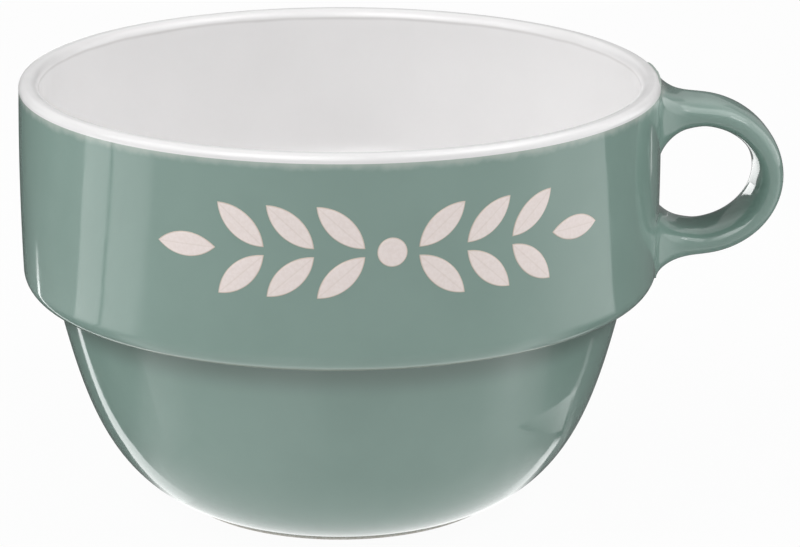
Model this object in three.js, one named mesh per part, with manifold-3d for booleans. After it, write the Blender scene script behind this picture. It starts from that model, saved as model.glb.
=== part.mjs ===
// Breakfast mug: a stackable two-tone stoneware cup with one loop handle.
// Millimetres, +Z up, handle along +X, foot on z = 0, origin under the middle of the outline.
import * as THREE from 'three';
import { mergeVertices } from 'three/addons/utils/BufferGeometryUtils.js';
import Module from 'manifold-3d';

const wasm = await Module();
wasm.setup();

// Band and lip, measured on the glaze; the band swells a little half-way up
const MUG_HEIGHT = 80;
const BAND_RADIUS = 59;
const BAND_BULGE = 0.25;
const LIP_WIDTH = 3.6;
const LIP_OUTER_ROUND = 1.3;
const LIP_INNER_ROUND = 1.7;
const LIP_WHITE_EDGE = 0.25;

// Stacking step and bowl; a pull is how far a curve follows the slope at its end
const STEP_HEIGHT = 41;
const STEP_CORNER_ROUND = 3.7;
const BOWL_TOP_RADIUS = 53.4;
const BOWL_TOP_SLOPE = 12.8;
const BOWL_TOP_PULL = 20.3;
const BOWL_FOOT_SLOPE = 66;
const BOWL_FOOT_PULL = 15.4;

// Foot ring and the recess inside it
const FOOT_RADIUS = 31;
const FOOT_WIDTH = 3.6;
const FOOT_EDGE = 0.4;
const FOOT_BARE_HEIGHT = 0.7;
const BASE_RECESS = 2.2;
const BASE_FILLET = 1.2;

// Inside: straight wall, shoulder over the step, bowl and floor
const SHOULDER_RISE = 13;
const SHOULDER_PULL = 6;
const BOWL_WALL = 4.4;
const INNER_BOWL_PULL = 22;
const FLOOR_PULL = 30;
const FLOOR_HEIGHT = 7;

// Handle loop, measured on the glaze: two legs off the wall and a rounded bow. The roots flare towards
// the wall, and the upper one ends just below the border of the two glazes
const ROOT_BELOW_BORDER = 0.05;
const HANDLE_HALF_RISE = 12.3;
const HANDLE_LEG = 7.1;
const HANDLE_BOW = 14;
const HANDLE_THICKNESS = 5;
const HANDLE_WIDTH = 15.5;
const HANDLE_SQUARENESS = 2.6;
const ROOT_LENGTH = 9.2;
const ROOT_RISE_OUT = 3.2;
const ROOT_RISE_IN = 4.1;
const ROOT_SPREAD = 3;
const ROOT_STOCK = 5;

// Layers between the pieces
const GLAZE_THICKNESS = 0.5;
const SLIP_THICKNESS = 0.5;
const SEAT_GAP = 0.1;

// Printed garland: pairs of leaves either side of a dot, laid out along the wall a little above the
// band's middle
const PRINT_AZIMUTH = -84;
const PRINT_RISE = 2.5;
const PRINT_GAP = 0.15;
const PRINT_CUT_REACH = 2;
const DOT_RADIUS = 2.6;
const LEAF_LENGTH = 11;
const LEAF_WIDTH = 4.4;
const LEAF_TILT = 42;
const LEAF_PITCH = 8.6;
const LEAF_FIRST = 4.6;
const LEAF_PAIRS = 3;
const STEM_HALF_GAP = 0.7;

// Facets
const ROUND_FACETS = 40;
const BOWL_STEPS = 6;
const SHOULDER_STEPS = 3;
const ARC_STEPS = 3;
const BAND_STEPS = 4;
const LEG_STEPS = 4;
const BOW_STEPS = 12;
const SECTION_SIDES = 12;
const LEAF_ARC_STEPS = 4;
const MERGE_DISTANCE = 1e-4;

const GREEN = 0x7c918a;
const WHITE = 0xe6e4e4;
const CLAY = 0xc9c2b8;
const SLIP_GREY = 0xbdb5a9;
const PRINT_PALE = 0xdbcfca;

const innerRadius = BAND_RADIUS - LIP_WIDTH;
const borderHeight = MUG_HEIGHT - LIP_OUTER_ROUND - LIP_WHITE_EDGE;
const handleReach = BAND_RADIUS + HANDLE_LEG + HANDLE_BOW + HANDLE_THICKNESS / 2;
const wallReach = BAND_RADIUS + BAND_BULGE;
const axisOffset = (handleReach - wallReach) / 2;
const legReach = BAND_RADIUS + HANDLE_LEG;
const upperLegHeight = borderHeight - ROOT_BELOW_BORDER - ROOT_RISE_OUT - HANDLE_THICKNESS / 2;
const handleMidHeight = upperLegHeight - HANDLE_HALF_RISE;
const printHeight = (STEP_HEIGHT + MUG_HEIGHT) / 2 + PRINT_RISE;

const point = (radius, height) => new THREE.Vector2(radius, height);
const radians = THREE.MathUtils.degToRad;

// Profiles run from the foot, over the lip, to the floor, with the clay on their left

function arc(radius, height, round, fromDegrees, toDegrees) {
  const clockwise = toDegrees < fromDegrees;
  const curve = new THREE.EllipseCurve(
    radius, height, round, round, radians(fromDegrees), radians(toDegrees), clockwise);
  return curve.getPoints(ARC_STEPS);
}

function alongSlope(start, slopeDegrees, distance) {
  const slope = radians(slopeDegrees);
  return point(start.x + distance * Math.sin(slope), start.y + distance * Math.cos(slope));
}

function outsideProfile() {
  const foot = point(FOOT_RADIUS, FOOT_BARE_HEIGHT);
  const top = point(BOWL_TOP_RADIUS, STEP_HEIGHT);
  const footControl = alongSlope(foot, BOWL_FOOT_SLOPE, BOWL_FOOT_PULL);
  const topControl = alongSlope(top, BOWL_TOP_SLOPE, -BOWL_TOP_PULL);
  const bowl = new THREE.CubicBezierCurve(foot, footControl, topControl, top);
  const cornerRadius = BAND_RADIUS - STEP_CORNER_ROUND;
  const corner = arc(cornerRadius, STEP_HEIGHT + STEP_CORNER_ROUND, STEP_CORNER_ROUND, -90, 0);
  const border = point(BAND_RADIUS, borderHeight);
  const fullest = point(BAND_RADIUS + 2 * BAND_BULGE, (corner.at(-1).y + borderHeight) / 2);
  const band = new THREE.QuadraticBezierCurve(corner.at(-1), fullest, border);
  return [...bowl.getPoints(BOWL_STEPS), ...corner, ...band.getPoints(BAND_STEPS).slice(1)];
}

function insideProfile() {
  const lipOutside = arc(
    BAND_RADIUS - LIP_OUTER_ROUND, MUG_HEIGHT - LIP_OUTER_ROUND, LIP_OUTER_ROUND, 0, 90);
  const lipInside = arc(
    innerRadius + LIP_INNER_ROUND, MUG_HEIGHT - LIP_INNER_ROUND, LIP_INNER_ROUND, 90, 180);
  const wallFoot = point(innerRadius, STEP_HEIGHT + SHOULDER_RISE);
  const bowlTop = point(BOWL_TOP_RADIUS - BOWL_WALL, STEP_HEIGHT);
  const shoulder = new THREE.CubicBezierCurve(
    wallFoot, point(wallFoot.x, wallFoot.y - SHOULDER_PULL),
    alongSlope(bowlTop, BOWL_TOP_SLOPE, SHOULDER_PULL), bowlTop);
  const bowl = new THREE.CubicBezierCurve(
    bowlTop, alongSlope(bowlTop, BOWL_TOP_SLOPE, -INNER_BOWL_PULL),
    point(FLOOR_PULL, FLOOR_HEIGHT), point(0, FLOOR_HEIGHT));
  return [
    point(BAND_RADIUS, borderHeight), ...lipOutside, ...lipInside,
    ...shoulder.getPoints(SHOULDER_STEPS), ...bowl.getPoints(BOWL_STEPS).slice(1)];
}

function baseProfile() {
  const wall = FOOT_RADIUS - FOOT_WIDTH;
  const fillet = arc(wall - BASE_FILLET, BASE_RECESS - BASE_FILLET, BASE_FILLET, 90, 0);
  return [point(0, BASE_RECESS), ...fillet, point(wall, FOOT_BARE_HEIGHT)];
}

// Offset a profile to its left, square to each corner's two sides; axis points stay on the axis
function inset(profile, depth) {
  return profile.map((corner, i) => {
    const before = profile[Math.max(i - 1, 0)];
    const after = profile[Math.min(i + 1, profile.length - 1)];
    const arriving = corner.clone().sub(i > 0 ? before : after).multiplyScalar(i > 0 ? 1 : -1);
    const leaving = i < profile.length - 1 ? after.clone().sub(corner) : arriving.clone();
    const first = point(-arriving.y, arriving.x).normalize();
    const second = point(-leaving.y, leaving.x).normalize();
    const step = first.clone().add(second).multiplyScalar(depth / (1 + first.dot(second)));
    const moved = corner.clone().add(step);
    return corner.x === 0 ? point(0, moved.y) : moved;
  });
}

const outside = outsideProfile();
const inside = insideProfile();
const base = baseProfile();
const clayOutside = inset(outside, GLAZE_THICKNESS);
const clayInside = inset(inside, GLAZE_THICKNESS);
const clayBase = inset(base, GLAZE_THICKNESS);

// Solids and their geometry

function turned(profile) {
  const geometry = new THREE.LatheGeometry(profile, ROUND_FACETS);
  geometry.rotateX(Math.PI / 2);
  return geometry;
}

function solid(geometry) {
  const bare = geometry.clone();
  bare.deleteAttribute('normal');
  bare.deleteAttribute('uv');
  const merged = mergeVertices(bare, MERGE_DISTANCE);
  const corners = [];
  for (let i = 0; i < merged.index.count; i += 3) {
    const [a, b, c] = [0, 1, 2].map((k) => merged.index.getX(i + k));
    if (a !== b && b !== c && c !== a) corners.push(a, b, c);
  }
  const vertProperties = new Float32Array(merged.attributes.position.array);
  const triVerts = new Uint32Array(corners);
  return new wasm.Manifold(new wasm.Mesh({ numProp: 3, vertProperties, triVerts }));
}

function geometryOf(body) {
  const mesh = body.getMesh();
  const geometry = new THREE.BufferGeometry();
  geometry.setAttribute('position', new THREE.BufferAttribute(mesh.vertProperties, 3));
  geometry.setIndex(new THREE.BufferAttribute(mesh.triVerts, 1));
  geometry.computeVertexNormals();
  return geometry;
}

// Everything within the outside profile after it has grown by a margin, up to the lip
function mugVolume(profile, margin) {
  const grown = inset(profile, -margin);
  const top = point(grown.at(-1).x, MUG_HEIGHT);
  return solid(turned([point(0, grown[0].y), ...grown, top, point(0, MUG_HEIGHT)]));
}

// Body and the three turned coats of glaze

function bodyGeometry() {
  const footInner = clayBase.at(-1).x;
  const footOuter = clayOutside[0].x;
  const foot = [
    point(footInner, FOOT_EDGE), point(footInner + FOOT_EDGE, 0),
    point(footOuter - FOOT_EDGE, 0), point(footOuter, FOOT_EDGE)];
  return turned([...clayBase, ...foot, ...clayOutside, ...clayInside]);
}

function innerGlazeGeometry() {
  return turned([...clayInside.toReversed(), ...inside]);
}

function baseGlazeGeometry() {
  return turned([...base, ...clayBase.toReversed()]);
}

function wallCoat() {
  return solid(turned([...outside, ...clayOutside.toReversed(), outside[0]]));
}

// Handle: rings of a rounded section along the loop; where the legs meet the wall they flare
// and wrap round it

// Share of a root's full flare, from 1 at the wall to 0 at the root's length
function rootFlare(x) {
  const left = THREE.MathUtils.clamp(1 - (x - BAND_RADIUS) / ROOT_LENGTH, 0, 1);
  return 1 - Math.sqrt(1 - left ** 2);
}

function legStations(side) {
  const station = (reach, wrap) => ({
    x: BAND_RADIUS + reach, z: handleMidHeight + side * HANDLE_HALF_RISE,
    normalX: 0, normalZ: side, wrap });
  const stations = [station(-ROOT_STOCK, 1)];
  for (let i = 0; i <= LEG_STEPS; i++) {
    const along = (i / LEG_STEPS) ** 2;
    stations.push(station(HANDLE_LEG * along, 1 - along));
  }
  return stations;
}

function bowStations() {
  const stations = [];
  for (let i = 1; i < BOW_STEPS; i++) {
    const angle = Math.PI / 2 - Math.PI * i / BOW_STEPS;
    const normal = point(Math.cos(angle) / HANDLE_BOW, Math.sin(angle) / HANDLE_HALF_RISE).normalize();
    stations.push({
      x: legReach + HANDLE_BOW * Math.cos(angle),
      z: handleMidHeight + HANDLE_HALF_RISE * Math.sin(angle),
      normalX: normal.x, normalZ: normal.y, wrap: 0 });
  }
  return stations;
}

function sectionRing(station, margin) {
  const rounded = (value) => Math.sign(value) * Math.abs(value) ** (2 / HANDLE_SQUARENESS);
  const flare = rootFlare(station.x);
  const halfWidth = HANDLE_WIDTH / 2 + ROOT_SPREAD * flare + margin;
  const ring = [];
  for (let i = 0; i < SECTION_SIDES; i++) {
    const angle = 2 * Math.PI * i / SECTION_SIDES;
    const across = halfWidth * rounded(Math.cos(angle));
    const rise = Math.sin(angle) > 0 ? ROOT_RISE_OUT : ROOT_RISE_IN;
    const halfThickness = HANDLE_THICKNESS / 2 + rise * flare + margin;
    const out = halfThickness * rounded(Math.sin(angle));
    const lag = station.wrap * (station.x - Math.sqrt(station.x ** 2 - across ** 2));
    const x = station.x - lag + station.normalX * out;
    ring.push(new THREE.Vector3(x, across, station.z + station.normalZ * out));
  }
  return ring;
}

function loft(rings) {
  const sides = rings[0].length;
  const last = (rings.length - 1) * sides;
  const corners = [];
  for (let i = 0; i < rings.length - 1; i++) {
    for (let j = 0; j < sides; j++) {
      const [a, b] = [i * sides + j, i * sides + (j + 1) % sides];
      corners.push(a, b, a + sides, b, b + sides, a + sides);
    }
  }
  for (let j = 1; j < sides - 1; j++) {
    corners.push(0, j + 1, j);
    corners.push(last, last + j, last + j + 1);
  }
  const geometry = new THREE.BufferGeometry().setFromPoints(rings.flat());
  geometry.setIndex(corners);
  return solid(geometry);
}

const upperLeg = legStations(1);
const lowerLeg = legStations(-1).toReversed();
const loopStations = [...upperLeg, ...bowStations(), ...lowerLeg];

const swept = (stations, margin) => loft(stations.map((station) => sectionRing(station, margin)));

const handleStock = swept(loopStations, -GLAZE_THICKNESS);
const slipOuter = mugVolume(clayOutside, SEAT_GAP + SLIP_THICKNESS);
const slipInner = mugVolume(clayOutside, SEAT_GAP);

function handleGeometry() {
  return geometryOf(handleStock.subtract(mugVolume(clayOutside, SLIP_THICKNESS + 2 * SEAT_GAP)));
}

function handleGlazeGeometry() {
  const coat = swept(loopStations, 0).subtract(handleStock);
  return geometryOf(coat.subtract(mugVolume(outside, SEAT_GAP)));
}

function slipGeometry(leg) {
  return geometryOf(swept(leg, -GLAZE_THICKNESS).intersect(slipOuter).subtract(slipInner));
}

// Print: each motif is cut from the wall's coat by an outline pushed through it along the radius

function leafShape(margin) {
  const halfLength = LEAF_LENGTH / 2;
  const halfWidth = LEAF_WIDTH / 2;
  const side = (halfLength ** 2 + halfWidth ** 2) / (2 * halfWidth);
  const centre = side - halfWidth;
  const radius = side + margin;
  const tip = Math.asin(Math.sqrt(radius ** 2 - centre ** 2) / radius);
  const shape = new THREE.Shape();
  shape.absarc(0, -centre, radius, Math.PI / 2 - tip, Math.PI / 2 + tip, false);
  shape.absarc(0, centre, radius, -Math.PI / 2 - tip, -Math.PI / 2 + tip, false);
  return shape;
}

function dotShape(margin) {
  return new THREE.Shape().absarc(0, 0, DOT_RADIUS + margin, 0, 2 * Math.PI, false);
}

// Each motif: its outline, its place along and up the wall from the print's middle, and its turn
function garland() {
  const motifs = [{ name: 'dot_print', outline: dotShape, along: 0, up: 0, turn: 0 }];
  const tilt = radians(LEAF_TILT);
  const half = LEAF_LENGTH / 2;
  let count = 0;
  const addLeaf = (side, along, up, turn) => {
    count += 1;
    const name = `leaf_print_${String(count).padStart(2, '0')}`;
    motifs.push({ name, outline: leafShape, along: side * along, up, turn: side * turn });
  };
  for (const side of [-1, 1]) {
    for (let pair = 0; pair < LEAF_PAIRS; pair++) {
      const stem = LEAF_FIRST + pair * LEAF_PITCH;
      for (const row of [1, -1]) {
        const up = row * (STEM_HALF_GAP + half * Math.sin(tilt));
        addLeaf(side, stem + half * Math.cos(tilt), up, row * tilt);
      }
    }
    addLeaf(side, LEAF_FIRST + LEAF_PAIRS * LEAF_PITCH + half, 0, 0);
  }
  return motifs;
}

function motifCutter(motif, margin) {
  const depth = GLAZE_THICKNESS + 2 * PRINT_CUT_REACH;
  const geometry = new THREE.ExtrudeGeometry(
    motif.outline(margin), { depth, bevelEnabled: false, curveSegments: LEAF_ARC_STEPS });
  geometry.rotateZ(motif.turn);
  geometry.translate(0, 0, BAND_RADIUS - GLAZE_THICKNESS - PRINT_CUT_REACH);
  const azimuth = radians(PRINT_AZIMUTH) + motif.along / BAND_RADIUS;
  const outward = new THREE.Vector3(Math.cos(azimuth), Math.sin(azimuth), 0);
  const sideways = new THREE.Vector3(-Math.sin(azimuth), Math.cos(azimuth), 0);
  const frame = new THREE.Matrix4().makeBasis(sideways, new THREE.Vector3(0, 0, 1), outward);
  frame.setPosition(0, 0, printHeight + motif.up);
  geometry.applyMatrix4(frame);
  return solid(geometry);
}

const coat = wallCoat();
const motifs = garland();

function outerGlazeGeometry() {
  let body = coat;
  for (const leg of [upperLeg, lowerLeg]) body = body.subtract(swept(leg, SEAT_GAP - GLAZE_THICKNESS));
  for (const motif of motifs) body = body.subtract(motifCutter(motif, PRINT_GAP));
  return geometryOf(body);
}

// Assembly

const mug = new THREE.Group();
mug.position.x = -axisOffset;

function add(name, geometry, color, roughness) {
  const material = new THREE.MeshStandardMaterial({ color, roughness, metalness: 0 });
  const mesh = new THREE.Mesh(geometry, material);
  mesh.name = name;
  mug.add(mesh);
}

add('stoneware_body', bodyGeometry(), CLAY, 0.8);
add('handle', handleGeometry(), CLAY, 0.8);
add('upper_handle_slip', slipGeometry(upperLeg), SLIP_GREY, 0.9);
add('lower_handle_slip', slipGeometry(lowerLeg), SLIP_GREY, 0.9);
add('inner_glaze', innerGlazeGeometry(), WHITE, 0.12);
add('outer_glaze', outerGlazeGeometry(), GREEN, 0.12);
add('handle_glaze', handleGlazeGeometry(), GREEN, 0.12);
add('base_glaze', baseGlazeGeometry(), GREEN, 0.15);
for (const motif of motifs) {
  add(motif.name, geometryOf(coat.intersect(motifCutter(motif, 0))), PRINT_PALE, 0.45);
}

const assembly = new THREE.Group();
assembly.add(mug);

export default assembly;
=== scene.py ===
import math

import bpy
from mathutils import Matrix, Vector


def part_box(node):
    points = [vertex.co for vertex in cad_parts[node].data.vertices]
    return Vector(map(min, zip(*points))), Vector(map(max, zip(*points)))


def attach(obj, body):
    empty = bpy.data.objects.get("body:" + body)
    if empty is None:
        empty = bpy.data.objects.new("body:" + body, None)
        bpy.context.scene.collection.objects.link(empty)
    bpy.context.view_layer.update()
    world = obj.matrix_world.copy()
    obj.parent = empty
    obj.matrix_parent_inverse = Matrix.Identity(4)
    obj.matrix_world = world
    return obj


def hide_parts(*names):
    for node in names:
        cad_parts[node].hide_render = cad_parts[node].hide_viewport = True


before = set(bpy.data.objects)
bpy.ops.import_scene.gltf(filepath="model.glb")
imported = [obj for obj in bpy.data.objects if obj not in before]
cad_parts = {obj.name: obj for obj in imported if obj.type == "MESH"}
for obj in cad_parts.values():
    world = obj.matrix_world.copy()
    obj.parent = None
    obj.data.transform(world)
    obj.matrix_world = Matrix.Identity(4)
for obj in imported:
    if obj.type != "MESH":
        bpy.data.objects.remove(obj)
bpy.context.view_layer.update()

MM = 0.001

# Band and lip, in millimetres, as in the solids
MUG_HEIGHT = 80
BAND_RADIUS = 59
BAND_BULGE = 0.25
LIP_WIDTH = 3.6
LIP_OUTER_ROUND = 1.3
LIP_INNER_ROUND = 1.7
LIP_WHITE_EDGE = 0.25

# Stacking step and bowl
STEP_HEIGHT = 41
STEP_CORNER_ROUND = 3.7
STEP_POOL_ROUND = 1.0
BOWL_TOP_RADIUS = 53.4
BOWL_TOP_SLOPE = 12.8
BOWL_TOP_PULL = 20.3
BOWL_FOOT_SLOPE = 66
BOWL_FOOT_PULL = 15.4

# Foot ring and the recess inside it
FOOT_RADIUS = 31
FOOT_WIDTH = 3.6
FOOT_EDGE = 0.4
FOOT_BARE_HEIGHT = 0.7
BASE_RECESS = 2.2
BASE_FILLET = 1.2

# Inside
SHOULDER_RISE = 13
SHOULDER_PULL = 6
BOWL_WALL = 4.4
INNER_BOWL_PULL = 22
FLOOR_PULL = 30
FLOOR_HEIGHT = 7

# Handle
ROOT_BELOW_BORDER = 0.05
HANDLE_HALF_RISE = 12.3
HANDLE_LEG = 7.1
HANDLE_BOW = 14
HANDLE_THICKNESS = 5
HANDLE_WIDTH = 15.5
HANDLE_SQUARENESS = 2.6
ROOT_LENGTH = 9.2
ROOT_RISE_OUT = 3.2
ROOT_RISE_IN = 4.1
ROOT_SPREAD = 3
ROOT_SINK = 1.2
ROOT_SQUARING = 3.0
FILLET_REACH = 5.0
FILLET_RISE = 1.3

# Glaze and print
GLAZE_THICKNESS = 0.5
PRINT_AZIMUTH = -84
PRINT_RISE = 2.5
PRINT_PROUD = 0.05
PRINT_SINK = 0.1
PRINT_EDGE_SINK = 0.025
PRINT_EDGE_ROUND = 0.12
DOT_RADIUS = 2.6
LEAF_LENGTH = 11
LEAF_WIDTH = 4.4
LEAF_TILT = 42
LEAF_PITCH = 8.6
LEAF_FIRST = 4.6
LEAF_PAIRS = 3
STEM_HALF_GAP = 0.7

# Fineness of the meshes
ROUND_STEPS = 224
BOWL_STEPS = 36
SHOULDER_STEPS = 14
ARC_STEPS = 12
BAND_STEPS = 12
BACK_STRIDE = 2
LEG_STEPS = 22
BOW_STEPS = 56
SECTION_SIDES = 56
LEAF_STEPS = 28
LEAF_ACROSS = 10
DOT_RINGS = 6
DOT_SIDES = 36
SHARP_ANGLE = 40

# Camera at the photograph's angle: lengths from the mug's axis in millimetres, turns in radians
CAMERA_DISTANCE = 590.0
CAMERA_HEIGHT = 219.98
CAMERA_PITCH = 0.29367
CAMERA_YAW = 0.01887
CAMERA_ROLL = 0.00357
CAMERA_LENS = 147.8
CAMERA_SENSOR = 36
CAMERA_NEAREST = 10
HANDLE_TURN = math.radians(2.5)

# Finishes: widths of noise and depths of relief in millimetres, and the part of a noise that is used
NOISE_DETAIL = 2.0
MOTTLE_DETAIL = 3.0
MOTTLE_SPAN = (0.3, 0.7)
SHEEN_SPAN = (0.2, 0.8)
GLAZE_IOR = 1.5

# Green glaze: it pools under the step, darkened there further with painted shade of the step, and breaks
# pale on the step's edge, at the border and at the foot.
# Each pair of starts or ends is in millimetres over the step, the border or the bare foot.
GREEN_MOTTLE = 14
GREEN_SHEEN = 5
GREEN_ROUGHNESS = (0.05, 0.10)
GREEN_WAVES = 9
GREEN_WAVE_DEPTH = 0.035
POOL_AND_SHADE_STARTS = (-7.0, -1.0)
POOL_AND_SHADE_ENDS = (0.1, 0.6)
BREAK_STARTS = (-0.1, 0.2)
BREAK_ENDS = (0.3, 1.4)
BREAK_SHARE = 0.5
BORDER_WANDER = 0.35
BORDER_WANDER_SIZE = 3
BORDER_STARTS = (-1.5, 0.2)
BORDER_SHARE = 0.75
FOOT_ENDS = (0.2, 1.0)
FOOT_SHARE = 0.6

# White glaze: a faint line of painted shade runs round the inside, set off from the lip's rounding and from
# the inner wall
WHITE_MOTTLE = 18
WHITE_SHEEN = 6
WHITE_ROUGHNESS = (0.18, 0.26)
WHITE_WAVES = 10
WHITE_WAVE_DEPTH = 0.03
LINE_WANDER = 0.1
LINE_WANDER_SIZE = 8
LINE_WANDER_DETAIL = 1.0
LINE_STARTS = (-0.5, 0)
LINE_ENDS = (0, 0.4)
LINE_WIDTH = (0.9, 1.1)
LINE_SHARE = 0.5

# Bare clay
CLAY_GRAIN = 0.5
CLAY_GRAIN_DETAIL = 4.0
CLAY_GRAIN_SPAN = (0.35, 0.7)
CLAY_GRAIN_DEPTH = 0.06
CLAY_SHEEN = 1.2
CLAY_ROUGHNESS = (0.7, 0.9)

# Print: a thin darker line follows each motif's edge, and a faint one each leaf's midrib
PRINT_GRAIN = 0.6
PRINT_GRAIN_DEPTH = 0.012
PRINT_SHEEN = 1.0
PRINT_ROUGHNESS = (0.42, 0.58)
PRINT_EDGE_LINE = (0.05, 0.28)
PRINT_EDGE_SHARE = 0.8
PRINT_RIB_LINE = (0.06, 0.2)
PRINT_RIB_SHARE = 0.15

# Studio: brightness 1 is white; places are in millimetres from the mug's axis, to the right and to the
# back as the camera sees them; sheets and cards show only in reflections
FLOOR_COLOUR = (0.85, 0.85, 0.85)
FLOOR_LIFT = 0.955
FLOOR_GLOW = 0.22
FLOOR_REACH = 3000
WHITE_LIGHT = (1, 1, 1)
AMBIENT = 0.4

# Lamps: distance to the right, to the back and above the floor, length of a side, brightness
LEFT_LAMP = (-648, -236, 618, 700, 2.54)
RIGHT_LAMP = (535, -195, 672, 450, 3.7)

# Sheets that lie on the floor, and how far each kind is lifted from it
SHEET_LIFT = 0.3
STREAK_LIFT = 0.6
WEDGE_LIFT = 0.9
FLOOR_RINGS = (30, 40, 56, 88, 110, 165, 900)

# Spokes: angle from the left towards the front, then brightness at the foot, close, near and far
SPOKES = (
    (-80, 0.1, 0.1, 0.06, 0.06), (-55, 0.1, 0.1, 0.06, 0.06), (-45, 0.1, 0.1, 0.06, 0.1),
    (-33, 0.1, 0.1, 0.06, 0.2), (-20, 0.1, 0.1, 0.06, 0.4), (-3.6, 0.1, 0.1, 0.08, 0.75),
    (-3.4, 0.1, 0.1, 0.08, 2.2), (7.9, 0.25, 0.2, 0.25, 2.25), (9.2, 0.4, 0.25, 0.25, 0.2),
    (10.6, 0.3, 0.3, 0.25, 2.15), (16, 0.8, 0.45, 0.35, 2.1), (22, 1.3, 0.7, 0.9, 2.1),
    (28, 1.5, 1.0, 1.3, 1.0), (48, 1.5, 1.2, 1.15, 1.0), (62, 1.5, 1.3, 1.3, 1.0),
    (70, 1.5, 1.4, 1.45, 1.0), (80, 1.5, 1.4, 1.45, 1.0), (87, 1.5, 1.25, 1.25, 1.0),
    (134, 1.5, 1.2, 1.2, 1.0), (148, 1.5, 1.1, 1.75, 1.25), (156, 1.5, 0.75, 1.2, 1.5),
    (162, 1.2, 0.5, 0.75, 1.7), (167, 0.65, 0.4, 0.3, 1.75), (174, 0.15, 0.3, 0.12, 1.65),
    (188.9, 0.1, 0.3, 0.1, 1.4), (189.1, 0.1, 0.15, 0.1, 0.14), (225, 0.1, 0.1, 0.1, 0.14),
    (235, 0.1, 0.1, 0.1, 0.1), (250, 0.1, 0.1, 0.1, 0.2), (290, 0.1, 0.1, 0.1, 0.35))

# Streaks: depth to the back, and a path of distance to the right, distance to the back, brightness
LEFT_STREAK_DEPTH = 9
LEFT_STREAK = (
    (-172, 120, 0), (-142, 85, 4), (-117, 62, 3), (-93, 37.5, 2.3), (-79, 22.5, 2.2), (-64, 5.5, 2.1),
    (-52, -7, 2.2), (-41, -14.5, 2.0), (-30, -21.5, 1.7))
RIGHT_STREAK_DEPTH = 6
RIGHT_STREAK = (
    (96, 24, 0.35), (85, 16, 0.5), (77, 8, 0.6), (74, 4, 1.3), (70, 2, 0.5), (62, -1, 0.1),
    (55, -3, 0.1), (52, -4.5, 1.7), (47, -9, 2.0), (40, -13.5, 1.8), (33, -18, 1.6))
WALL_GLINT_DEPTH = 14
WALL_GLINT = ((228, 238, 0), (220, 229, 1.0), (208, 213, 1.1), (193, 192, 1.0), (186, 183, 0))
LEFT_PATCH_DEPTH = 17
LEFT_PATCH = ((-86, -41, 1.2), (-71, -41, 1.35), (-57, -40, 1.3), (-44, -37, 1.0))

# Wedge on the right: outer edge, distance to the back, brightness; its inner edge is nearer and dimmer
RIGHT_WEDGE = ((74, 3, 1.35), (72.5, -4, 1.25), (69.5, -12, 1.05), (66.5, -19, 1.0), (62, -28, 0.9))
WEDGE_INNER = 57
WEDGE_SLANT = 5
WEDGE_FADE = 0.45

# Glint inside the handle: left edge and distance to the back; its right edge is straight
HANDLE_GLINT = ((20, 100), (2, 147), (-12, 226), (-48, 294), (-80, 345), (-115, 400))
GLINT_RIGHT = 67
GLINT_LEFT_BRIGHTNESS = 2.4
GLINT_RIGHT_BRIGHTNESS = 1.6

# Card behind: distance to the right, then brightness at each of its heights
BACK_DISTANCE = 402
BACK_HEIGHTS = (30, 170, 300)
BACK_CARD = (
    (-500, 0.15, 0.2, 0.9), (0, 0.25, 0.35, 0.8), (65, 0.12, 0.16, 0.24), (105, 0.12, 0.16, 0.24),
    (136, 0.19, 0.42, 0.9), (195, 0.3, 0.46, 0.96), (235, 0.3, 0.48, 0.35), (500, 0.33, 0.52, 0.35))

# Small upright cards: left and right edge, distance to the back, bottom, top, brightness left and right
DARK_CARD = (62, 94, 60, 58, 82, 0.12, 0.12)
GLINT_CARD = (-118, -25, 400, 2, 66, 3.4, 3.2)

# Bent cards: peak brightness, elevations with their shares of it, turns to the right with theirs
CARD_DISTANCE = 900
FRONT_PEAK = 5.2
FRONT_RISES = ((22, 0), (30, 1), (66, 1), (80, 0))
FRONT_SWEEP = ((-62, 0), (-50, 1), (-14, 1), (4, 0.4), (18, 0))
HIGH_PEAK = 3.8
HIGH_RISES = ((36, 0.35), (46, 1), (68, 1), (80, 0))
HIGH_SWEEP = ((18.5, 0), (32, 0.9), (55, 0.8), (72, 1), (120, 1), (145, 0))
SIDE_PEAK = 2.4
SIDE_RISES = ((1, 1), (35.5, 1))
SIDE_SWEEP = ((40, 0), (62, 1), (118, 1), (140, 0))

inner_radius = BAND_RADIUS - LIP_WIDTH
border_height = MUG_HEIGHT - LIP_OUTER_ROUND - LIP_WHITE_EDGE
upper_leg_height = border_height - ROOT_BELOW_BORDER - ROOT_RISE_OUT - HANDLE_THICKNESS / 2
handle_mid_height = upper_leg_height - HANDLE_HALF_RISE
print_height = (STEP_HEIGHT + MUG_HEIGHT) / 2 + PRINT_RISE
wall_low, wall_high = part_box("outer_glaze")
axis_x = (wall_low.x + wall_high.x) / 2


# Profiles, in pairs of radius and height, with the clay on their left as they run

def bezier(start, first, second, end, steps):
    points = []
    for i in range(steps + 1):
        t = i / steps
        u = 1 - t
        shares = (u ** 3, 3 * u * u * t, 3 * u * t * t, t ** 3)
        corners = (start, first, second, end)
        points.append(tuple(sum(s * c[k] for s, c in zip(shares, corners)) for k in (0, 1)))
    return points


def arc(radius, height, rounding, start, end):
    points = []
    for i in range(ARC_STEPS + 1):
        angle = math.radians(start + (end - start) * i / ARC_STEPS)
        points.append((radius + rounding * math.cos(angle), height + rounding * math.sin(angle)))
    return points


def along_slope(start, slope, distance):
    slope = math.radians(slope)
    return start[0] + distance * math.sin(slope), start[1] + distance * math.cos(slope)


def straight(start, end, steps):
    return [tuple(a + (b - a) * i / steps for a, b in zip(start, end)) for i in range(steps + 1)]


def band_radius(height):
    """Radius of the band, which swells half-way between the step's corner and the border."""
    low = STEP_HEIGHT + STEP_CORNER_ROUND
    share = (height - low) / (border_height - low)
    return BAND_RADIUS + 4 * BAND_BULGE * share * (1 - share)


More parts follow.
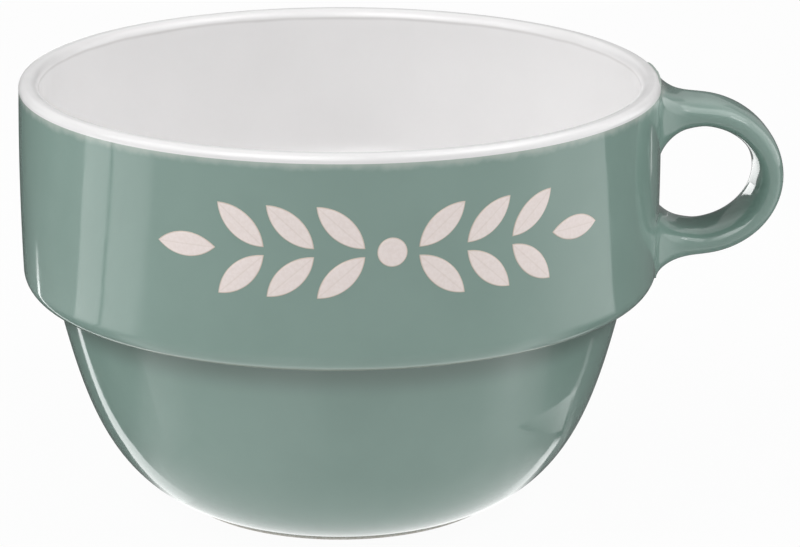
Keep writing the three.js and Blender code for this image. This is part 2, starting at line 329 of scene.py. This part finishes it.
def outside_profile():
    """From the foot up to the border of the two glazes."""
    foot = (FOOT_RADIUS, FOOT_BARE_HEIGHT)
    top = (BOWL_TOP_RADIUS, STEP_HEIGHT)
    bowl = bezier(
        foot, along_slope(foot, BOWL_FOOT_SLOPE, BOWL_FOOT_PULL),
        along_slope(top, BOWL_TOP_SLOPE, -BOWL_TOP_PULL), top, BOWL_STEPS)
    pool_start = along_slope(top, BOWL_TOP_SLOPE, -STEP_POOL_ROUND)
    pool_end = (BOWL_TOP_RADIUS + STEP_POOL_ROUND, STEP_HEIGHT)
    pool = bezier(pool_start, top, top, pool_end, ARC_STEPS)
    bowl = [p for p in bowl if p[1] < pool_start[1]]
    corner = arc(
        BAND_RADIUS - STEP_CORNER_ROUND, STEP_HEIGHT + STEP_CORNER_ROUND, STEP_CORNER_ROUND, -90, 0)
    band = [(band_radius(height), height) for radius, height in
            straight(corner[-1], (BAND_RADIUS, border_height), BAND_STEPS)]
    return bowl + pool + corner + band[1:]


def inside_profile():
    """From the border over the lip and down to the middle of the floor."""
    lip_outside = arc(
        BAND_RADIUS - LIP_OUTER_ROUND, MUG_HEIGHT - LIP_OUTER_ROUND, LIP_OUTER_ROUND, 0, 90)
    lip_inside = arc(
        inner_radius + LIP_INNER_ROUND, MUG_HEIGHT - LIP_INNER_ROUND, LIP_INNER_ROUND, 90, 180)
    wall_foot = (inner_radius, STEP_HEIGHT + SHOULDER_RISE)
    wall = straight(lip_inside[-1], wall_foot, BAND_STEPS)
    bowl_top = (BOWL_TOP_RADIUS - BOWL_WALL, STEP_HEIGHT)
    shoulder = bezier(
        wall_foot, (wall_foot[0], wall_foot[1] - SHOULDER_PULL),
        along_slope(bowl_top, BOWL_TOP_SLOPE, SHOULDER_PULL), bowl_top, SHOULDER_STEPS)
    bowl = bezier(
        bowl_top, along_slope(bowl_top, BOWL_TOP_SLOPE, -INNER_BOWL_PULL),
        (FLOOR_PULL, FLOOR_HEIGHT), (0, FLOOR_HEIGHT), BOWL_STEPS)
    border = (BAND_RADIUS, border_height)
    return [border] + lip_outside + lip_inside + wall[1:] + shoulder[1:] + bowl[1:]


def base_profile():
    """From the middle of the recess out to the foot ring."""
    wall = FOOT_RADIUS - FOOT_WIDTH
    fillet = arc(wall - BASE_FILLET, BASE_RECESS - BASE_FILLET, BASE_FILLET, 90, 0)
    middle = straight((0, BASE_RECESS), fillet[0], BAND_STEPS)
    return middle + fillet[1:] + [(wall, FOOT_BARE_HEIGHT)]


def inset(profile, depth):
    """The profile moved to its left by depth; a point on the axis stays on it."""
    moved = []
    for i, corner in enumerate(profile):
        before = Vector(profile[max(i - 1, 0)])
        after = Vector(profile[min(i + 1, len(profile) - 1)])
        run = (after - before).normalized()
        left = Vector((-run.y, run.x))
        shifted = Vector(corner) + depth * left
        moved.append((0 if corner[0] == 0 else shifted.x, shifted.y))
    return moved


def thinned(profile):
    """Every few points of a hidden profile, both ends included."""
    return profile[:-1:BACK_STRIDE] + profile[-1:]


# Meshes

def mesh_piece(name, points, faces, material, slot, nodes):
    """A closed mesh of millimetre points about the mug's axis, which rides on the body in place of nodes."""
    mesh = bpy.data.meshes.new(name)
    mesh.from_pydata([(axis_x + x * MM, y * MM, z * MM) for x, y, z in points], [], faces)
    mesh.validate()
    mesh.shade_smooth()
    mesh.set_sharp_from_angle(angle=math.radians(SHARP_ANGLE))
    mesh.materials.append(material)
    piece = bpy.data.objects.new(name, mesh)
    bpy.context.scene.collection.objects.link(piece)
    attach(piece, "root")
    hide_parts(*nodes)
    return piece


def turned(profile, closed):
    """Points and faces of a profile turned about the axis; closed joins its last point to its first."""
    points = []
    rows = []
    for radius, height in profile:
        if radius == 0:
            rows.append([len(points)] * ROUND_STEPS)
            points.append((0, 0, height))
            continue
        rows.append(list(range(len(points), len(points) + ROUND_STEPS)))
        for i in range(ROUND_STEPS):
            angle = 2 * math.pi * i / ROUND_STEPS
            points.append((radius * math.cos(angle), radius * math.sin(angle), height))
    if closed:
        rows.append(rows[0])
    faces = []
    for low, high in zip(rows, rows[1:]):
        for i in range(ROUND_STEPS):
            j = (i + 1) % ROUND_STEPS
            face = list(dict.fromkeys((low[i], low[j], high[j], high[i])))
            if len(face) > 2:
                faces.append(face)
    return points, faces


def root_flare(x):
    """Share of a root's full flare, from 1 at the wall to 0 at the root's length."""
    left = min(max(1 - (x - BAND_RADIUS) / ROOT_LENGTH, 0), 1)
    return 1 - math.sqrt(1 - left ** 2)


def fillet(x):
    """Share of the glaze that gathers in the corner between a root and the wall."""
    left = min(max(1 - (x - BAND_RADIUS) / FILLET_REACH, 0), 1)
    return left ** 2


def leg_stations(side):
    height = handle_mid_height + side * HANDLE_HALF_RISE
    stations = [(BAND_RADIUS - ROOT_SINK, height, 0, side, 1)]
    for i in range(LEG_STEPS + 1):
        along = (i / LEG_STEPS) ** 2
        stations.append((BAND_RADIUS + HANDLE_LEG * along, height, 0, side, 1 - along))
    return stations


def bow_stations():
    stations = []
    for i in range(1, BOW_STEPS):
        angle = math.pi / 2 - math.pi * i / BOW_STEPS
        normal = Vector((math.cos(angle) / HANDLE_BOW, math.sin(angle) / HANDLE_HALF_RISE)).normalized()
        x = BAND_RADIUS + HANDLE_LEG + HANDLE_BOW * math.cos(angle)
        z = handle_mid_height + HANDLE_HALF_RISE * math.sin(angle)
        stations.append((x, z, normal.x, normal.y, 0))
    return stations


def squared(value, squareness):
    """A circle's coordinate turned into that of a rounded square."""
    return math.copysign(abs(value) ** (2 / squareness), value)


def section_ring(station):
    """One section of the handle. Glaze gathers where it meets the wall, but not on the lowest side."""
    x, z, normal_x, normal_z, wrap = station
    flare = root_flare(x)
    gathered = FILLET_RISE * fillet(x)
    squareness = HANDLE_SQUARENESS + ROOT_SQUARING * flare
    half_width = HANDLE_WIDTH / 2 + ROOT_SPREAD * flare + gathered
    outer_half = HANDLE_THICKNESS / 2 + ROOT_RISE_OUT * flare + (gathered if normal_z > 0 else 0)
    inner_half = HANDLE_THICKNESS / 2 + ROOT_RISE_IN * flare + gathered
    ring = []
    for i in range(SECTION_SIDES):
        angle = 2 * math.pi * i / SECTION_SIDES
        across = half_width * squared(math.cos(angle), squareness)
        half_thickness = outer_half if math.sin(angle) > 0 else inner_half
        out = half_thickness * squared(math.sin(angle), squareness)
        lag = wrap * (x - math.sqrt(x * x - across * across))
        ring.append((x - lag + normal_x * out, across, z + normal_z * out))
    return ring


def handle_loop():
    stations = leg_stations(1) + bow_stations() + leg_stations(-1)[::-1]
    points = [p for station in stations for p in section_ring(station)]
    faces = []
    for i in range(len(stations) - 1):
        for j in range(SECTION_SIDES):
            a = i * SECTION_SIDES + j
            b = i * SECTION_SIDES + (j + 1) % SECTION_SIDES
            faces.append((a, b, b + SECTION_SIDES, a + SECTION_SIDES))
    last = (len(stations) - 1) * SECTION_SIDES
    faces.append(tuple(reversed(range(SECTION_SIDES))))
    faces.append(tuple(range(last, last + SECTION_SIDES)))
    return points, faces


# Print: flat motifs of rows of points, wrapped on the wall

def on_wall(along, up, turn, spot, out):
    """A spot of a motif that is turned and set on the wall, out from the glaze by a little."""
    flat_along = along + spot[0] * math.cos(turn) - spot[1] * math.sin(turn)
    height = print_height + up + spot[0] * math.sin(turn) + spot[1] * math.cos(turn)
    azimuth = math.radians(PRINT_AZIMUTH) + flat_along / BAND_RADIUS
    radius = band_radius(height) + out
    return radius * math.cos(azimuth), radius * math.sin(azimuth), height


def leaf_rows():
    """Rows of (spot, distance to the edge, distance from the midrib) across a leaf, from stem to tip."""
    half_length = LEAF_LENGTH / 2
    half_width = LEAF_WIDTH / 2
    side = (half_length ** 2 + half_width ** 2) / (2 * half_width)
    rows = []
    for i in range(LEAF_STEPS + 1):
        x = -half_length * math.cos(math.pi * i / LEAF_STEPS)
        reach = max(math.sqrt(side ** 2 - x ** 2) - (side - half_width), 0)
        row = []
        for j in range(LEAF_ACROSS + 1):
            y = -reach * math.cos(math.pi * j / LEAF_ACROSS)
            edge = side - math.hypot(x, abs(y) + side - half_width)
            row.append(((x, y), max(edge, 0), abs(y)))
        rows.append(row)
    return rows


def dot_rows():
    rows = []
    for i in range(DOT_RINGS + 1):
        reach = DOT_RADIUS * math.sin(math.pi / 2 * i / DOT_RINGS)
        row = []
        for j in range(DOT_SIDES):
            angle = 2 * math.pi * j / DOT_SIDES
            row.append(((reach * math.cos(angle), reach * math.sin(angle)), DOT_RADIUS - reach, DOT_RADIUS))
        rows.append(row)
    return rows


def motif_mesh(rows, around, along, up, turn):
    """Points, faces and edge distances of a thin motif; around joins each row's end to its start."""
    points = []
    faces = []
    edges = []
    ribs = []
    for sunk in (False, True):
        first = len(points)
        for row in rows:
            for spot, edge, rib in row:
                rise = math.sqrt(max(1 - (1 - min(edge / PRINT_EDGE_ROUND, 1)) ** 2, 0))
                out = -PRINT_SINK if sunk else (PRINT_PROUD + PRINT_EDGE_SINK) * rise - PRINT_EDGE_SINK
                points.append(on_wall(along, up, turn, spot, out))
                edges.append(edge)
                ribs.append(rib)
        width = len(rows[0])
        for i in range(len(rows) - 1):
            for j in range(width if around else width - 1):
                k = (j + 1) % width
                a, b = first + i * width + j, first + i * width + k
                face = (a, a + width, b + width, b)
                faces.append(face if sunk == around else face[::-1])
    count = len(points) // 2
    width = len(rows[0])
    if around:
        rim = [count - width + j for j in range(width)]
    else:
        rim = [i * width for i in range(len(rows))]
        rim += [(i + 1) * width - 1 for i in reversed(range(len(rows)))]
    for a, b in zip(rim, rim[1:] + rim[:1]):
        face = (a, b, b + count, a + count)
        faces.append(face if around else face[::-1])
    return points, faces, edges, ribs


def garland():
    """Name, rows, whether the rows close, and place along, up and turned, of each motif."""
    motifs = [("dot_print", dot_rows(), True, 0, 0, 0)]
    tilt = math.radians(LEAF_TILT)
    half = LEAF_LENGTH / 2
    places = []
    for side in (-1, 1):
        for pair in range(LEAF_PAIRS):
            stem = LEAF_FIRST + pair * LEAF_PITCH
            for row in (1, -1):
                up = row * (STEM_HALF_GAP + half * math.sin(tilt))
                places.append((side * (stem + half * math.cos(tilt)), up, side * row * tilt))
        places.append((side * (LEAF_FIRST + LEAF_PAIRS * LEAF_PITCH + half), 0, 0))
    for count, (along, up, turn) in enumerate(places, 1):
        motifs.append((f"leaf_print_{count:02d}", leaf_rows(), False, along, up, turn))
    return motifs


# Materials

class Finish:
    """A material's nodes, with short calls for those that the finishes share."""

    def __init__(self, name):
        self.material = bpy.data.materials.new(name)
        self.material.use_nodes = True
        self.tree = self.material.node_tree
        self.shader = self.tree.nodes["Principled BSDF"]
        self.place = self.add("ShaderNodeTexCoord").outputs["Object"]

    def add(self, kind, **settings):
        node = self.tree.nodes.new(kind)
        for key, value in settings.items():
            setattr(node, key, value)
        return node

    def feed(self, socket, value):
        if isinstance(value, bpy.types.NodeSocket):
            self.tree.links.new(value, socket)
        else:
            socket.default_value = value

    def noise(self, size, detail=NOISE_DETAIL):
        """Soft noise whose blotches are about size millimetres wide."""
        node = self.add("ShaderNodeTexNoise")
        self.feed(node.inputs["Vector"], self.place)
        self.feed(node.inputs["Scale"], 1 / (size * MM))
        self.feed(node.inputs["Detail"], detail)
        return node.outputs["Fac"]

    def math(self, operation, first, second=0.0):
        node = self.add("ShaderNodeMath", operation=operation)
        self.feed(node.inputs[0], first)
        self.feed(node.inputs[1], second)
        return node.outputs[0]

    def span(self, value, low, high, start=0.0, end=1.0):
        """Start to end, smoothly, as value goes from low to high."""
        node = self.add("ShaderNodeMapRange", interpolation_type="SMOOTHSTEP")
        for socket, setting in zip(node.inputs[:5], (value, low, high, start, end)):
            self.feed(socket, setting)
        return node.outputs[0]

    def near(self, value, place, reach, start=0.0, end=1.0):
        """Start to end, smoothly, as value goes over the reach, which is measured from a place."""
        return self.span(value, place + reach[0], place + reach[1], start, end)

    def blend(self, share, first, second):
        node = self.add("ShaderNodeMix", data_type="RGBA")
        self.feed(node.inputs["Factor"], share)
        self.feed(node.inputs[6], first)
        self.feed(node.inputs[7], second)
        return node.outputs[2]

    def height(self):
        """Height over the table in millimetres."""
        node = self.add("ShaderNodeSeparateXYZ")
        self.feed(node.inputs[0], self.place)
        return self.math("MULTIPLY", node.outputs["Z"], 1 / MM)

    def radius(self):
        """Distance from the mug's axis in millimetres."""
        offset = self.add("ShaderNodeVectorMath", operation="SUBTRACT")
        self.feed(offset.inputs[0], self.place)
        self.feed(offset.inputs[1], (axis_x, 0, 0))
        flat = self.add("ShaderNodeVectorMath", operation="MULTIPLY")
        self.feed(flat.inputs[0], offset.outputs[0])
        self.feed(flat.inputs[1], (1 / MM, 1 / MM, 0))
        reach = self.add("ShaderNodeVectorMath", operation="LENGTH")
        self.feed(reach.inputs[0], flat.outputs[0])
        return reach.outputs["Value"]

    def attribute(self, name):
        return self.add("ShaderNodeAttribute", attribute_name=name).outputs["Fac"]

    def relief(self, value, depth):
        """Bump of a 0 to 1 value, depth in millimetres."""
        node = self.add("ShaderNodeBump")
        self.feed(node.inputs["Height"], value)
        self.feed(node.inputs["Distance"], depth * MM)
        self.tree.links.new(node.outputs["Normal"], self.shader.inputs["Normal"])

    def set(self, name, value):
        self.feed(self.shader.inputs[name], value)


def colour(red, green, blue):
    """Linear colour of an sRGB one given from 0 to 255."""
    parts = [v / 255 for v in (red, green, blue)]
    linear = [p / 12.92 if p <= 0.04045 else ((p + 0.055) / 1.055) ** 2.4 for p in parts]
    return (*linear, 1.0)


GREEN = colour(131, 157, 148)
GREEN_THIN = colour(134, 160, 151)
# Pooled glaze under the step, darkened further as painted shade of the step
GREEN_POOL_AND_SHADE = colour(113, 132, 125)
STEP_BREAK = colour(162, 154, 140)
GREEN_BREAK = colour(190, 200, 193)
WHITE = colour(246, 245, 245)
WHITE_WARM = colour(244, 243, 243)
# Painted shade of a faint line round the inside, under the lip's rounding
LIP_SHADE_LINE = colour(212, 210, 209)
CLAY = colour(243, 240, 235)
CLAY_DARK = colour(222, 216, 207)
SLIP_GREY = colour(210, 202, 190)
PRINT_PALE = colour(246, 234, 230)
PRINT_SHADE = colour(241, 228, 223)
PRINT_LINE = colour(196, 178, 160)


def green_finish():
    f = Finish("green_glaze")
    height = f.height()
    mottle = f.span(f.noise(GREEN_MOTTLE, MOTTLE_DETAIL), *MOTTLE_SPAN)
    body = f.blend(mottle, GREEN, GREEN_THIN)
    # Painted shade: the glaze under the step is darkened, partly as pooled glaze and partly as the step's
    # shade
    pool = f.near(height, STEP_HEIGHT, POOL_AND_SHADE_STARTS)
    past = f.near(height, STEP_HEIGHT, POOL_AND_SHADE_ENDS, 1.0, 0.0)
    body = f.blend(f.math("MULTIPLY", pool, past), body, GREEN_POOL_AND_SHADE)
    over = f.near(height, STEP_HEIGHT, BREAK_STARTS)
    edge = f.near(height, STEP_HEIGHT, BREAK_ENDS, BREAK_SHARE, 0.0)
    body = f.blend(f.math("MULTIPLY", over, edge), body, STEP_BREAK)
    wander = f.span(f.noise(BORDER_WANDER_SIZE), *SHEEN_SPAN, -BORDER_WANDER, BORDER_WANDER)
    border = f.near(f.math("ADD", height, wander), border_height, BORDER_STARTS, 0.0, BORDER_SHARE)
    foot = f.near(height, FOOT_BARE_HEIGHT, FOOT_ENDS, FOOT_SHARE, 0.0)
    worn = f.math("MAXIMUM", border, foot)
    f.set("Base Color", f.blend(worn, body, GREEN_BREAK))
    f.set("Roughness", f.span(f.noise(GREEN_SHEEN), *SHEEN_SPAN, *GREEN_ROUGHNESS))
    f.set("IOR", GLAZE_IOR)
    f.relief(f.noise(GREEN_WAVES), GREEN_WAVE_DEPTH)
    return f.material


def white_finish():
    f = Finish("white_glaze")
    body = f.blend(f.span(f.noise(WHITE_MOTTLE, MOTTLE_DETAIL), *MOTTLE_SPAN), WHITE, WHITE_WARM)
    wander = f.span(f.noise(LINE_WANDER_SIZE, LINE_WANDER_DETAIL), *SHEEN_SPAN, -LINE_WANDER, LINE_WANDER)
    height = f.math("ADD", f.height(), wander)
    # Painted shade: a faint darker line round the inside, under the lip's rounding
    line_height = MUG_HEIGHT - LIP_INNER_ROUND
    below = f.near(height, line_height, LINE_STARTS)
    above = f.near(height, line_height, LINE_ENDS, 1.0, 0.0)
    inner = f.near(f.radius(), inner_radius, LINE_WIDTH, LINE_SHARE, 0.0)
    line = f.math("MULTIPLY", f.math("MULTIPLY", below, above), inner)
    f.set("Base Color", f.blend(line, body, LIP_SHADE_LINE))
    f.set("Roughness", f.span(f.noise(WHITE_SHEEN), *SHEEN_SPAN, *WHITE_ROUGHNESS))
    f.set("IOR", GLAZE_IOR)
    f.relief(f.noise(WHITE_WAVES), WHITE_WAVE_DEPTH)
    return f.material


def clay_finish(name, main, dark):
    f = Finish(name)
    grain = f.noise(CLAY_GRAIN, CLAY_GRAIN_DETAIL)
    f.set("Base Color", f.blend(f.span(grain, *CLAY_GRAIN_SPAN), main, dark))
    f.set("Roughness", f.span(f.noise(CLAY_SHEEN), *SHEEN_SPAN, *CLAY_ROUGHNESS))
    f.relief(grain, CLAY_GRAIN_DEPTH)
    return f.material


def print_finish():
    f = Finish("print")
    grain = f.noise(PRINT_GRAIN)
    body = f.blend(f.span(grain, *MOTTLE_SPAN), PRINT_PALE, PRINT_SHADE)
    edge = f.span(f.attribute("edge"), *PRINT_EDGE_LINE, PRINT_EDGE_SHARE, 0.0)
    rib = f.span(f.attribute("rib"), *PRINT_RIB_LINE, PRINT_RIB_SHARE, 0.0)
    f.set("Base Color", f.blend(f.math("MAXIMUM", edge, rib), body, PRINT_LINE))
    f.set("Roughness", f.span(f.noise(PRINT_SHEEN), *SHEEN_SPAN, *PRINT_ROUGHNESS))
    f.relief(grain, PRINT_GRAIN_DEPTH)
    return f.material


green = green_finish()
white = white_finish()
clay = clay_finish("stoneware", CLAY, CLAY_DARK)
slip = clay_finish("slip", SLIP_GREY, CLAY_DARK)
pale = print_finish()

# Pieces

outside = outside_profile()
inside = inside_profile()
base = base_profile()
clay_outside = thinned(inset(outside, GLAZE_THICKNESS))
clay_inside = thinned(inset(inside, GLAZE_THICKNESS))
clay_base = thinned(inset(base, GLAZE_THICKNESS))

mesh_piece(
    "outer_glaze_skin", *turned(outside + clay_outside[::-1], True), green, "green_glaze", ["outer_glaze"])
mesh_piece(
    "inner_glaze_skin", *turned(clay_inside[::-1] + inside, False), white, "white_glaze", ["inner_glaze"])
mesh_piece(
    "base_glaze_skin", *turned(base + clay_base[::-1], False), green, "green_glaze", ["base_glaze"])

foot_inner = clay_base[-1][0]
foot_outer = clay_outside[0][0]
foot = [
    (foot_inner, FOOT_EDGE), (foot_inner + FOOT_EDGE, 0),
    (foot_outer - FOOT_EDGE, 0), (foot_outer, FOOT_EDGE)]
mesh_piece(
    "clay_body", *turned(clay_base + foot + clay_outside + clay_inside, False), clay, "stoneware",
    ["stoneware_body"])
mesh_piece("handle_glaze_skin", *handle_loop(), green, "green_glaze", ["handle_glaze"])

for name, rows, around, along, up, turn in garland():
    points, faces, edges, ribs = motif_mesh(rows, around, along, up, turn)
    piece = mesh_piece(name + "_skin", points, faces, pale, "print", [name])
    for label, values in (("edge", edges), ("rib", ribs)):
        layer = piece.data.attributes.new(label, "FLOAT", "POINT")
        layer.data.foreach_set("value", values)

for name, material in (("handle", clay), ("upper_handle_slip", slip), ("lower_handle_slip", slip)):
    node_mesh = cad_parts[name].data
    node_mesh.materials.clear()
    node_mesh.materials.append(material)


# Camera

def set_camera():
    camera = bpy.data.objects.new("camera", bpy.data.cameras.new("camera"))
    bpy.context.scene.collection.objects.link(camera)
    camera.data.sensor_width = CAMERA_SENSOR
    camera.data.lens = CAMERA_LENS
    camera.data.clip_start = CAMERA_NEAREST * MM
    level = math.cos(CAMERA_PITCH)
    forward = Vector((math.sin(CAMERA_YAW) * level, math.cos(CAMERA_YAW) * level, -math.sin(CAMERA_PITCH)))
    right = Vector((math.cos(CAMERA_YAW), -math.sin(CAMERA_YAW), 0))
    up = right.cross(forward)
    rolled_right = math.cos(CAMERA_ROLL) * right + math.sin(CAMERA_ROLL) * up
    rolled_up = math.cos(CAMERA_ROLL) * up - math.sin(CAMERA_ROLL) * right
    stand = Matrix((
        (rolled_right.x, rolled_up.x, -forward.x, 0),
        (rolled_right.y, rolled_up.y, -forward.y, -CAMERA_DISTANCE * MM),
        (rolled_right.z, rolled_up.z, -forward.z, CAMERA_HEIGHT * MM),
        (0, 0, 0, 1)))
    camera.matrix_world = Matrix.Translation((axis_x, 0, 0)) @ Matrix.Rotation(-HANDLE_TURN, 4, "Z") @ stand
    bpy.context.scene.camera = camera


# Studio: the floor, a bright world, soft lamps, and cards that only reflections show

class Studio:
    """A node tree of the studio: which rays see a surface decides between two shaders."""

    def __init__(self, tree, output):
        self.tree = tree
        tree.nodes.clear()
        self.output = tree.nodes.new(output)
        self.path = tree.nodes.new("ShaderNodeLightPath")

    def seen_by(self, *rays):
        """1 for the kinds of rays named, and 0 for the rest."""
        found = self.path.outputs[rays[0]]
        for ray in rays[1:]:
            either = self.tree.nodes.new("ShaderNodeMath")
            either.operation = "MAXIMUM"
            self.tree.links.new(found, either.inputs[0])
            self.tree.links.new(self.path.outputs[ray], either.inputs[1])
            found = either.outputs[0]
        return found

    def shader(self, kind, colour, strength=None):
        node = self.tree.nodes.new(kind)
        node.inputs["Color"].default_value = (*colour, 1)
        if strength is not None:
            node.inputs["Strength"].default_value = strength
        return node.outputs[0]

    def mix(self, share, first, second):
        node = self.tree.nodes.new("ShaderNodeMixShader")
        if isinstance(share, bpy.types.NodeSocket):
            self.tree.links.new(share, node.inputs[0])
        else:
            node.inputs[0].default_value = share
        self.tree.links.new(first, node.inputs[1])
        self.tree.links.new(second, node.inputs[2])
        return node.outputs[0]

    def finish(self, shader):
        self.tree.links.new(shader, self.output.inputs["Surface"])


def stage_mesh(name, corners, faces, material):
    mesh = bpy.data.meshes.new(name)
    mesh.from_pydata(corners, [], faces)
    mesh.materials.append(material)
    thing = bpy.data.objects.new(name, mesh)
    bpy.context.scene.collection.objects.link(thing)
    return thing


def lay_floor():
    material = bpy.data.materials.new("floor")
    material.use_nodes = True
    studio = Studio(material.node_tree, "ShaderNodeOutputMaterial")
    paper = studio.shader("ShaderNodeBsdfDiffuse", FLOOR_COLOUR)
    light = studio.shader("ShaderNodeEmission", WHITE_LIGHT, 1.0)
    white_paper = studio.mix(FLOOR_LIFT, paper, light)
    glowing_paper = studio.mix(FLOOR_GLOW, paper, light)
    studio.finish(studio.mix(studio.seen_by("Is Camera Ray", "Is Glossy Ray"), glowing_paper, white_paper))
    r = FLOOR_REACH * MM
    stage_mesh("floor", [(-r, -r, 0), (r, -r, 0), (r, r, 0), (-r, r, 0)], [(0, 1, 2, 3)], material)


def set_world():
    world = bpy.data.worlds.new("studio")
    bpy.context.scene.world = world
    world.use_nodes = True
    studio = Studio(world.node_tree, "ShaderNodeOutputWorld")
    ambient = studio.shader("ShaderNodeBackground", WHITE_LIGHT, AMBIENT)
    backdrop = studio.shader("ShaderNodeBackground", WHITE_LIGHT, 1.0)
    seen = studio.seen_by("Is Camera Ray", "Is Glossy Ray", "Is Transmission Ray")
    studio.finish(studio.mix(seen, ambient, backdrop))


def from_camera(right, back, height):
    """A point from the mug's axis in millimetres, right and back as the camera sees it."""
    turn = Matrix.Rotation(-HANDLE_TURN, 4, "Z")
    return Vector((axis_x, 0, 0)) + turn @ (Vector((right, back, height)) * MM)


def lay_sheet(name, corners):
    """A sheet that only reflections show, a strip of pairs of (right, back, height, brightness)."""
    material = bpy.data.materials.new(name)
    material.use_nodes = True
    studio = Studio(material.node_tree, "ShaderNodeOutputMaterial")
    glow = studio.tree.nodes.new("ShaderNodeAttribute")
    glow.attribute_name = "glow"
    light = studio.tree.nodes.new("ShaderNodeEmission")
    studio.tree.links.new(glow.outputs["Fac"], light.inputs["Strength"])
    studio.finish(light.outputs[0])
    places = [from_camera(right, back, height) for right, back, height, brightness in corners]
    faces = [(2 * i, 2 * i + 1, 2 * i + 3, 2 * i + 2) for i in range(len(corners) // 2 - 1)]
    sheet = stage_mesh(name, places, faces, material)
    layer = sheet.data.attributes.new("glow", "FLOAT", "POINT")
    layer.data.foreach_set("value", [corner[-1] for corner in corners])
    sheet.visible_camera = False
    sheet.visible_diffuse = False
    sheet.visible_shadow = False
    sheet.visible_transmission = False
    sheet.visible_volume_scatter = False


def lay_spokes():
    """Floor sheets in rings about the mug, with the spokes' brightness at each ring."""
    for ring in range(len(FLOOR_RINGS) - 1):
        corners = []
        for angle, foot, close, near, far in SPOKES:
            levels = (foot, foot, close, near, near, far, far)
            right = -math.cos(math.radians(angle))
            back = -math.sin(math.radians(angle))
            for step in (ring, ring + 1):
                reach = FLOOR_RINGS[step]
                corners.append((reach * right, reach * back, SHEET_LIFT, levels[step]))
        lay_sheet(f"floor_ring_{ring}", corners)


def lay_streak(name, depth, path):
    """A floor sheet along a path of (right, back, brightness), its depth measured to the back."""
    corners = []
    for right, back, brightness in path:
        for side in (-depth / 2, depth / 2):
            corners.append((right, back + side, STREAK_LIFT, brightness))
    lay_sheet(name, corners)


def lay_handle_glint():
    corners = []
    for left, back in HANDLE_GLINT:
        corners.append((left, back, STREAK_LIFT, GLINT_LEFT_BRIGHTNESS))
        corners.append((GLINT_RIGHT, back, STREAK_LIFT, GLINT_RIGHT_BRIGHTNESS))
    lay_sheet("handle_glint", corners)


def lay_wedge():
    corners = []
    for outer, back, brightness in RIGHT_WEDGE:
        corners.append((WEDGE_INNER, back - WEDGE_SLANT, WEDGE_LIFT, WEDGE_FADE * brightness))
        corners.append((outer, back, WEDGE_LIFT, brightness))
    lay_sheet("right_wedge", corners)


def stand_back_card():
    """The card behind, with one sheet between each two of its heights."""
    for step in range(len(BACK_HEIGHTS) - 1):
        corners = []
        for right, *levels in BACK_CARD:
            for row in (step, step + 1):
                corners.append((right, BACK_DISTANCE, BACK_HEIGHTS[row], levels[row]))
        lay_sheet(f"back_card_{step}", corners)


def stand_card(name, left, right, back, bottom, top, left_brightness, right_brightness):
    corners = []
    for side, brightness in ((left, left_brightness), (right, right_brightness)):
        for height in (bottom, top):
            corners.append((side, back, height, brightness))
    lay_sheet(name, corners)


def hang_card(name, peak, rises, sweep):
    """A bent card, as bright as its peak where both its shares are 1; it fades into the white world."""
    for band, (low, high) in enumerate(zip(rises, rises[1:])):
        corners = []
        for sideways, side_share in sweep:
            turn = math.radians(sideways)
            for rise, rise_share in (low, high):
                level = CARD_DISTANCE * math.cos(math.radians(rise))
                height = CARD_DISTANCE * math.sin(math.radians(rise))
                brightness = 1 + (peak - 1) * rise_share * side_share
                corners.append((level * math.sin(turn), -level * math.cos(turn), height, brightness))
        lay_sheet(f"{name}_{band}", corners)


def hang_lamp(name, right, back, height, side, brightness):
    """A soft square lamp aimed at the mug; brightness 1 is as bright as white paper."""
    lamp = bpy.data.lights.new(name, "AREA")
    lamp.shape = "SQUARE"
    lamp.size = side * MM
    lamp.energy = brightness * math.pi * lamp.size ** 2
    holder = bpy.data.objects.new(name, lamp)
    holder.location = from_camera(right, back, height)
    aim = Vector((axis_x, 0, MUG_HEIGHT / 2 * MM)) - holder.location
    holder.rotation_euler = aim.to_track_quat("-Z", "Y").to_euler()
    holder.visible_camera = False
    bpy.context.scene.collection.objects.link(holder)


set_camera()
lay_floor()
set_world()
hang_lamp("left_lamp", *LEFT_LAMP)
hang_lamp("right_lamp", *RIGHT_LAMP)
lay_spokes()
lay_streak("left_streak", LEFT_STREAK_DEPTH, LEFT_STREAK)
lay_streak("right_streak", RIGHT_STREAK_DEPTH, RIGHT_STREAK)
lay_streak("wall_glint", WALL_GLINT_DEPTH, WALL_GLINT)
lay_streak("left_patch", LEFT_PATCH_DEPTH, LEFT_PATCH)
lay_handle_glint()
lay_wedge()
stand_back_card()
stand_card("dark_card", *DARK_CARD)
stand_card("glint_card", *GLINT_CARD)
hang_card("front_card", FRONT_PEAK, FRONT_RISES, FRONT_SWEEP)
hang_card("high_card", HIGH_PEAK, HIGH_RISES, HIGH_SWEEP)
hang_card("side_card", SIDE_PEAK, SIDE_RISES, SIDE_SWEEP)

bpy.context.scene.view_settings.view_transform = "Standard"
